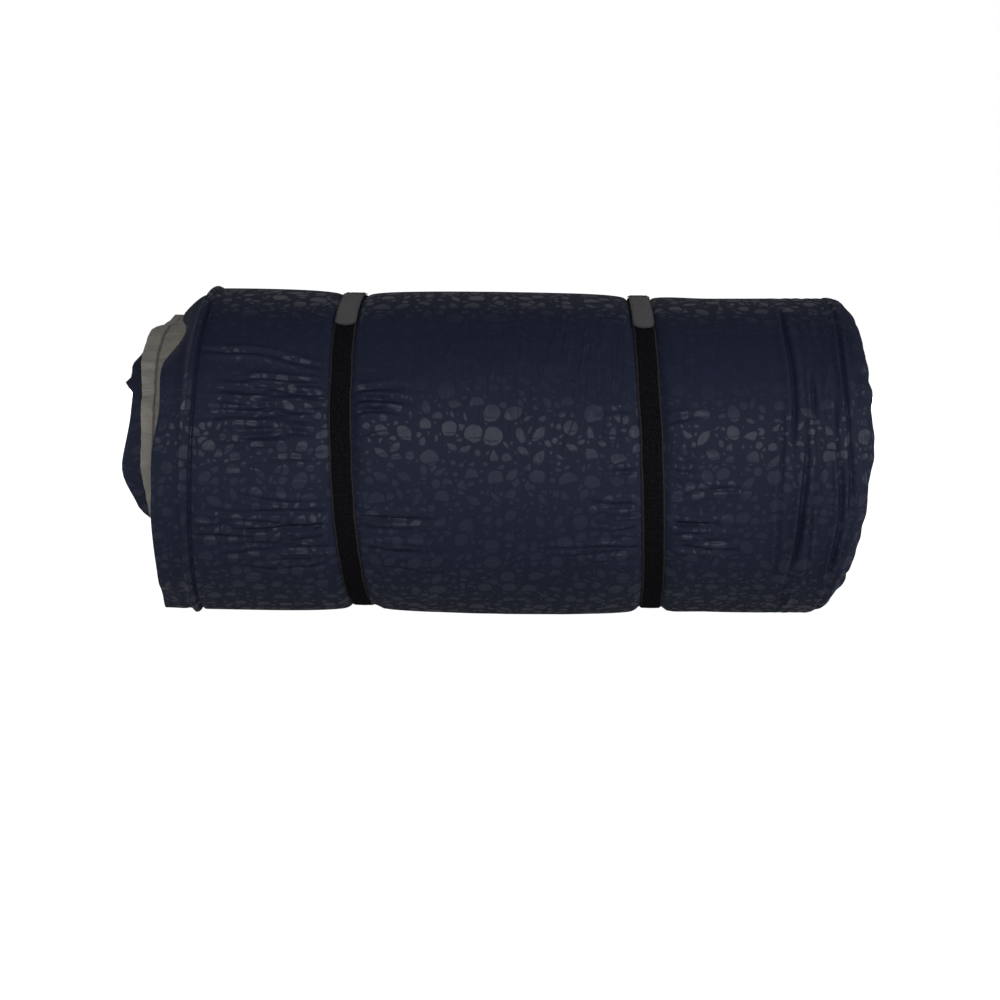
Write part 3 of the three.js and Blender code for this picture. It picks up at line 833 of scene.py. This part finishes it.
def pebble(shader, place, kind):
    """How far inside a pebble of one kind a place is, in metres, with its slit and its cell's middle."""
    cell, small, large, _, shift = PEBBLES[kind]
    moved = shader.vector("ADD", place, (shift, shift * 0.7, 0.0))
    cells = cell_pattern(shader, moved, cell, "F1")
    parts = shader.add("ShaderNodeSeparateColor")
    shader.feed(parts.inputs[0], cells.outputs["Color"])
    spin, size, slim = parts.outputs[0], parts.outputs[1], parts.outputs[2]
    offset = shader.vector("SUBTRACT", moved, cells.outputs["Position"])
    turned = shader.add("ShaderNodeVectorRotate", rotation_type="Z_AXIS")
    shader.feed(turned.inputs["Vector"], offset)
    shader.feed(turned.inputs["Angle"], shader.math("MULTIPLY_ADD", spin, 2.6, -1.3))
    radius = shader.math("MULTIPLY_ADD", size, large - small, small)
    squeeze = shader.math("MULTIPLY", shader.math("POWER", slim, 1.6), 1.5)
    bow = shader.math("SQRT", shader.math("MULTIPLY_ADD", squeeze, squeeze, 1.0))
    lengthwise, sideways = shader.axes(turned.outputs[0])
    wide = shader.math("ABSOLUTE", shader.math("DIVIDE", lengthwise, radius))
    tall = shader.math("DIVIDE", sideways, radius)
    lens = shader.add("ShaderNodeCombineXYZ")
    shader.feed(lens.inputs[0], shader.math("ADD", wide, squeeze))
    shader.feed(lens.inputs[1], tall)
    inside = shader.math("SUBTRACT", bow, shader.vector("LENGTH", lens.outputs[0]))
    inside = shader.math("MULTIPLY", inside, radius)
    aside, down = shader.axes(offset)
    tilt = shader.math("MULTIPLY", aside, shader.math("MULTIPLY_ADD", spin, 0.7, -0.35))
    fall = shader.math("DIVIDE", shader.math("ADD", down, tilt), radius)
    draw = shader.math("FRACT", shader.math("MULTIPLY", spin, 7.3))
    chord = shader.math("MULTIPLY_ADD", draw, 1.5, 0.05)
    cut = shader.math("MULTIPLY", shader.math("SUBTRACT", chord, fall), radius)
    inside = shader.math("SMOOTH_MIN", inside, cut, 0.8 * MM)
    smile = shader.math("MULTIPLY_ADD", shader.math("MULTIPLY", wide, wide), 0.35, fall)
    slit = shader.math("ABSOLUTE", shader.math("SUBTRACT", smile, 0.52))
    lot = shader.math("FRACT", shader.math("MULTIPLY", size, 5.7))
    has_slit = shader.math("GREATER_THAN", lot, 0.45)
    slit = shader.math("MULTIPLY", shader.inverse(shader.step(slit, 0.04, 0.085)), has_slit)
    slit = shader.math("MULTIPLY", slit, shader.inverse(shader.step(wide, 0.6, 0.75)))
    middle = shader.vector("SUBTRACT", cells.outputs["Position"], (shift, shift * 0.7, 0.0))
    return {"inside": inside, "slit": slit, "middle": middle, "radius": radius, "moved": moved}


def cell_pattern(shader, place, cell, feature):
    node = shader.add("ShaderNodeTexVoronoi", voronoi_dimensions="2D", feature=feature)
    shader.feed(node.inputs["Vector"], place)
    shader.feed(node.inputs["Scale"], 1 / cell)
    shader.feed(node.inputs["Randomness"], 0.62)
    return node


def whole_pebble(shader, place, kind, bigger):
    """A pebble kept off its neighbours, and left out where a bigger one takes its middle."""
    cell, _, _, gap, _ = PEBBLES[kind]
    one = pebble(shader, place, kind)
    edges = cell_pattern(shader, one["moved"], cell, "DISTANCE_TO_EDGE")
    from_edge = shader.math("MULTIPLY_ADD", edges.outputs["Distance"], cell, -gap)
    inside = shader.math("SMOOTH_MIN", one["inside"], from_edge, 1.2 * MM)
    for other, taken in bigger:
        at_middle = pebble(shader, one["middle"], other)["inside"]
        room = shader.math("SUBTRACT", -1.5 * MM, at_middle)
        room = shader.math("MULTIPLY_ADD", one["radius"], -0.2, room)
        hidden = shader.math("LESS_THAN", room, 0.0)
        inside = shader.math("MULTIPLY_ADD", hidden, -0.05, inside)
        clear = shader.math("SUBTRACT", -1.8 * MM, taken)
        inside = shader.math("SMOOTH_MIN", inside, clear, 0.5 * MM)
    return inside, one["slit"]


def printed_fabric():
    """Navy coated cloth with a tone-on-tone print of flat pebbles, glossier than the ground."""
    shader = Shader("printed fabric")
    place = shader.cloth_uv()
    warped = shader.warped(place, 90, 3 * MM)
    large, slit = whole_pebble(shader, warped, "large", [])
    medium, _ = whole_pebble(shader, warped, "medium", [("large", large)])
    taken = shader.math("MAXIMUM", large, medium)
    small, _ = whole_pebble(shader, warped, "small", [("large", large), ("medium", medium)])
    mask = shader.step(shader.math("MAXIMUM", taken, small), -0.1 * MM, 0.25 * MM)
    unslit = shader.inverse(shader.math("MULTIPLY", slit, 0.85))
    mask = shader.math("MULTIPLY", mask, unslit)
    streaks = shader.noise(shader.vector("MULTIPLY", place, (0.35, 1.0, 1.0)), 700, 4.0, 0.6)
    patches = shader.noise(place, 30, 2.0, 0.5)
    ink = shader.math("MULTIPLY_ADD", patches, 0.3, 0.55)
    ink = shader.math("MULTIPLY_ADD", streaks, 0.5, ink)
    ink = shader.math("MULTIPLY", mask, ink)
    clouds = shader.noise(place, 14, 3.0, 0.6)
    ground = shader.mix(clouds, colour(15, 25, 50), colour(19, 29, 56))
    tint = shader.mix(ink, ground, colour(34, 40, 64))
    weave = shader.noise(place, 2600, 2.0, 0.6)
    tint = shader.mix(shader.math("MULTIPLY", weave, 0.06), tint, colour(84, 90, 108))
    rough = shader.math("MULTIPLY_ADD", mask, -0.33, 0.76)
    normal = crumpled(shader, place, weave)
    return shader.set(Base_Color=tint, Roughness=rough, Specular_IOR_Level=0.4, Normal=normal)


def crumpled(shader, place, weave):
    """Fine creases along the roll and round it where the mesh asks for them, over the weave."""
    along, around = shader.number("along"), shader.number("around")
    bent = shader.warped(place, 20, 0.016)
    lengthwise = shader.noise(shader.vector("MULTIPLY", bent, (0.16, 1.0, 1.0)), 70, 2.0, 0.5)
    ringwise = shader.noise(shader.vector("MULTIPLY", bent, (1.0, 0.1, 1.0)), 80, 2.0, 0.5)
    folds = []
    for field in (lengthwise, ringwise):
        off = shader.math("ABSOLUTE", shader.math("SUBTRACT", field, 0.5))
        folds.append(shader.step(off, 0.0, 0.11))
    softly = shader.noise(shader.vector("MULTIPLY", bent, (1.0, 0.3, 1.0)), 100, 3.0, 0.5)
    faint = shader.bump(softly, 0.7 * MM, 0.4)
    first = shader.bump(folds[0], 1.1 * MM, shader.math("MULTIPLY", along, 0.8), faint)
    second = shader.bump(folds[1], 0.9 * MM, shader.math("MULTIPLY", around, 0.8), first)
    return shader.bump(weave, 0.12 * MM, 0.35, second)


def back_fabric():
    """Warm grey coated cloth, crumpled, with a paler pressed band along its cut edges."""
    shader = Shader("back fabric")
    place = shader.cloth_uv()
    across, _ = shader.axes(place)
    far = shader.math("SUBTRACT", CLOTH_WIDTH, across)
    from_edge = shader.math("MINIMUM", across, far)
    pressed = shader.inverse(shader.step(from_edge, WELD - 0.6 * MM, WELD + 0.4 * MM))
    line = shader.math("ABSOLUTE", shader.math("SUBTRACT", from_edge, WELD + 1.0 * MM))
    line = shader.inverse(shader.step(line, 0.4 * MM, 1.6 * MM))
    mottle = shader.noise(place, 60, 4.0, 0.65)
    tint = shader.mix(mottle, colour(126, 121, 115), colour(158, 153, 146))
    tint = shader.mix(shader.math("MULTIPLY", pressed, 0.5), tint, colour(160, 157, 150))
    tint = shader.mix(shader.math("MULTIPLY", line, 0.6), tint, colour(60, 56, 53))
    weave = shader.noise(place, 2200, 2.0, 0.6)
    soft = shader.bump(shader.noise(place, 75, 4.0, 0.6), 4.0 * MM, 0.8)
    edge = shader.bump(shader.inverse(line), 0.9 * MM, 0.8, soft)
    normal = shader.bump(weave, 0.12 * MM, 0.4, edge)
    rough = shader.math("MULTIPLY_ADD", pressed, -0.15, 0.66)
    return shader.set(Base_Color=tint, Roughness=rough, Specular_IOR_Level=0.4, Normal=normal)


def loop_tape():
    """Black loop pile with lighter flecks and a thin brownish selvedge on each side."""
    shader = Shader("loop tape")
    place = shader.cloth_uv()
    across, _ = shader.axes(place)
    side = shader.math("ABSOLUTE", across)
    edge_band = shader.step(side, STRAP_WIDTH / 2 - 1.5 * MM, STRAP_WIDTH / 2 - 0.7 * MM)
    pile = shader.noise(place, 1500, 3.0, 0.7)
    tufts = shader.noise(place, 420, 3.0, 0.6)
    flecks = shader.step(pile, 0.5, 0.75)
    tint = shader.mix(flecks, colour(22, 22, 26), colour(84, 84, 92))
    tint = shader.mix(shader.step(tufts, 0.35, 0.7), colour(18, 18, 22), tint)
    tint = shader.mix(shader.math("MULTIPLY", edge_band, 0.75), tint, colour(84, 74, 72))
    loops = shader.math("ADD", pile, shader.math("MULTIPLY", tufts, 0.8))
    normal = shader.bump(loops, 0.9 * MM, 0.9)
    return shader.set(Base_Color=tint, Roughness=1.0, Specular_IOR_Level=0.06, Normal=normal)


RIB_PITCH = 0.95 * MM
THREAD_PITCH = 0.42 * MM


def hook_tape():
    """The tab's woven back: dark grey satin ribs across the tape, and painted shade along its edges."""
    shader = Shader("hook tape")
    place = shader.cloth_uv()
    across, along = shader.axes(place)
    uneven = shader.math("MULTIPLY", shader.noise(place, 500, 2.0, 0.5), 0.8 * MM)
    along = shader.math("ADD", along, uneven)
    ribs = shader.math("SINE", shader.math("MULTIPLY", along, 2 * pi / RIB_PITCH))
    threads = shader.math("SINE", shader.math("MULTIPLY", across, 2 * pi / THREAD_PITCH))
    side = shader.math("ABSOLUTE", across)
    # painted shade: a dark band along both edges of the tab, where its edges fall away
    edge_band = shader.step(side, STRAP_WIDTH / 2 - 1.9 * MM, STRAP_WIDTH / 2 - 1.3 * MM)
    wear = shader.noise(place, 130, 4.0, 0.6)
    tint = shader.mix(wear, colour(60, 55, 60), colour(92, 86, 91))
    tint = shader.mix(shader.step(ribs, -1.2, 0.4), colour(34, 31, 35), tint)
    # darkens the edge band with painted shade
    tint = shader.mix(shader.math("MULTIPLY", edge_band, 0.85), tint, colour(34, 31, 33))
    weave = shader.math("ADD", ribs, shader.math("MULTIPLY", threads, 0.35))
    normal = shader.bump(weave, 0.16 * MM, 0.8)
    return shader.set(
        Base_Color=tint, Roughness=0.5, Specular_IOR_Level=0.45, Sheen_Weight=0.15, Normal=normal,
    )


def hook_field():
    """The hooks under the tab: rows of small dark plastic hooks."""
    shader = Shader("hook field")
    place = shader.cloth_uv()
    hooks = shader.add("ShaderNodeTexVoronoi", voronoi_dimensions="2D")
    shader.feed(hooks.inputs["Vector"], place)
    shader.feed(hooks.inputs["Scale"], 650.0)
    shader.feed(hooks.inputs["Randomness"], 0.3)
    near = shader.inverse(hooks.outputs["Distance"])
    tint = shader.mix(shader.step(near, 0.5, 0.9), colour(12, 12, 13), colour(46, 45, 48))
    return shader.set(Base_Color=tint, Roughness=0.5, Normal=shader.bump(near, 1.2 * MM, 0.9))


def plain(name, dark, light, scale, rough, relief_depth, **more):
    """A solid material with a fine mottle and grain, on the piece's own coordinates."""
    shader = Shader(name)
    place = shader.add("ShaderNodeTexCoord").outputs["Object"]
    mottle = shader.noise(place, scale, 4.0, 0.6)
    grain = shader.noise(place, scale * 8, 3.0, 0.6)
    tint = shader.mix(mottle, dark, light)
    normal = shader.bump(grain, relief_depth, 0.6)
    rougher = shader.math("MULTIPLY_ADD", mottle, 0.15, rough)
    return shader.set(Base_Color=tint, Roughness=rougher, Normal=normal, **more)


def dress(piece, *materials):
    """Gives a piece its material; a second one goes on the faces turned to the roll's axis."""
    piece.data.materials.clear()
    for material in materials:
        piece.data.materials.append(material)
    for face in piece.data.polygons:
        y, z = face.center.y - AXIS_Y, face.center.z - AXIS_Z
        outwards = (face.normal.y * y + face.normal.z * z) / sqrt(y * y + z * z)
        face.material_index = int(len(materials) > 1 and outwards < FACING_IN)


# ==== Light and camera
CAMERA_DISTANCE = 1.39
CAMERA_ELEVATION = radians(7)
AIM_BELOW_AXIS = radians(1.95)
CAMERA_X = 9 * MM
CAMERA_ROLL = radians(0.6)


def add_camera():
    data = bpy.data.cameras.new("camera")
    data.lens = 50
    data.sensor_width = 36
    camera = bpy.data.objects.new("camera", data)
    bpy.context.scene.collection.objects.link(camera)
    away = CAMERA_DISTANCE * cos(CAMERA_ELEVATION)
    up = CAMERA_DISTANCE * sin(CAMERA_ELEVATION)
    pitch = pi / 2 - CAMERA_ELEVATION - AIM_BELOW_AXIS
    spin = Euler((pitch, 0, 0)).to_matrix() @ Matrix.Rotation(CAMERA_ROLL, 3, "Z")
    place = Matrix.Translation((CAMERA_X, AXIS_Y - away, AXIS_Z + up))
    camera.matrix_world = place @ spin.to_4x4()
    bpy.context.scene.camera = camera


def add_light(name, place, target, size, power):
    data = bpy.data.lights.new(name, "AREA")
    data.shape = "RECTANGLE"
    data.size, data.size_y = size
    data.energy = power
    light = bpy.data.objects.new(name, data)
    bpy.context.scene.collection.objects.link(light)
    heading = Vector(target) - Vector(place)
    turn = heading.to_track_quat("-Z", "Y").to_matrix().to_4x4()
    light.matrix_world = Matrix.Translation(place) @ turn


def add_world():
    """White behind the object, and a dimmer even light on it."""
    world = bpy.data.worlds.new("world")
    bpy.context.scene.world = world
    world.use_nodes = True
    tree = world.node_tree
    background = tree.nodes["Background"]
    background.inputs["Color"].default_value = (1, 1, 1, 1)
    seen = tree.nodes.new("ShaderNodeLightPath")
    strength = tree.nodes.new("ShaderNodeMapRange")
    strength.inputs["To Min"].default_value = 0.055
    strength.inputs["To Max"].default_value = 1.0
    tree.links.new(seen.outputs["Is Camera Ray"], strength.inputs["Value"])
    tree.links.new(strength.outputs["Result"], background.inputs["Strength"])


def add_floor():
    """White paper that glows fully for the camera and faintly for the object."""
    bm = bmesh.new()
    bmesh.ops.create_grid(bm, x_segments=8, y_segments=8, size=60)
    bmesh.ops.translate(bm, verts=bm.verts[:], vec=(0, 0, -0.4 * MM))
    mesh = bpy.data.meshes.new("floor")
    bm.to_mesh(mesh)
    bm.free()
    floor = bpy.data.objects.new("floor", mesh)
    bpy.context.scene.collection.objects.link(floor)
    shader = Shader("floor paper")
    glow = shader.add("ShaderNodeMapRange")
    shader.feed(glow.inputs["Value"], shader.add("ShaderNodeLightPath").outputs["Is Camera Ray"])
    shader.feed(glow.inputs["To Min"], 0.06)
    shader.feed(glow.inputs["To Max"], 1.0)
    dress(floor, shader.set(
        Base_Color=(0.85, 0.85, 0.85, 1), Roughness=0.9, Specular_IOR_Level=0.1,
        Emission_Color=(1, 1, 1, 1), Emission_Strength=glow.outputs["Result"],
    ))


def set_the_stage():
    add_camera()
    add_world()
    add_floor()
    middle = (0, AXIS_Y, AXIS_Z)
    add_light("front", (0.1, -2.6, 0.98), middle, (4.4, 0.6), 33)
    add_light("high_back", (0, 1.6, 1.5), middle, (2.6, 0.6), 2.4)
    add_light("low_back", (0, 2.7, 0.16), middle, (3.6, 0.3), 26)
    add_light("left_end", (-2.6, 0.2, 0.6), middle, (0.8, 0.8), 9)
    add_light("right_end", (2.4, -0.9, 0.7), middle, (0.8, 0.8), 10)
    bpy.context.scene.view_settings.view_transform = "Standard"


# ==== Put together
set_the_stage()
cover_finish = printed_fabric()
loops, tab_back, hooks = loop_tape(), hook_tape(), hook_field()
sewing = plain("thread", colour(16, 16, 18), colour(34, 33, 36), 1500, 0.7, 0.05 * MM)
plastic = plain(
    "moulded plastic", colour(16, 17, 19), colour(24, 25, 28), 300, 0.38, 0.04 * MM,
    Specular_IOR_Level=0.5,
)
rubber = plain("silicone", colour(104, 106, 108), colour(124, 126, 128), 200, 0.5, 0.03 * MM)
foam_finish = plain("foam", colour(196, 188, 164), colour(214, 208, 186), 500, 0.85, 0.4 * MM)

dress(make_cover(), cover_finish)
dress(make_back(), back_fabric())
dress(make_foam(), foam_finish)
for side, strap in STRAPS.items():
    dress(make_band(side, strap), loops)
    dress(make_tab(side, strap), tab_back, hooks)
    dress(make_stitching(side, strap), sewing)
NODES = {o.name: o for o in bpy.data.objects}
for node, finish in {
    "valve_base": plastic, "valve_seat": plastic, "valve_cap": plastic,
    "valve_flap": rubber, "valve_seal": rubber,
}.items():
    piece = NODES[node]
    for slot in piece.material_slots:
        slot.material = finish
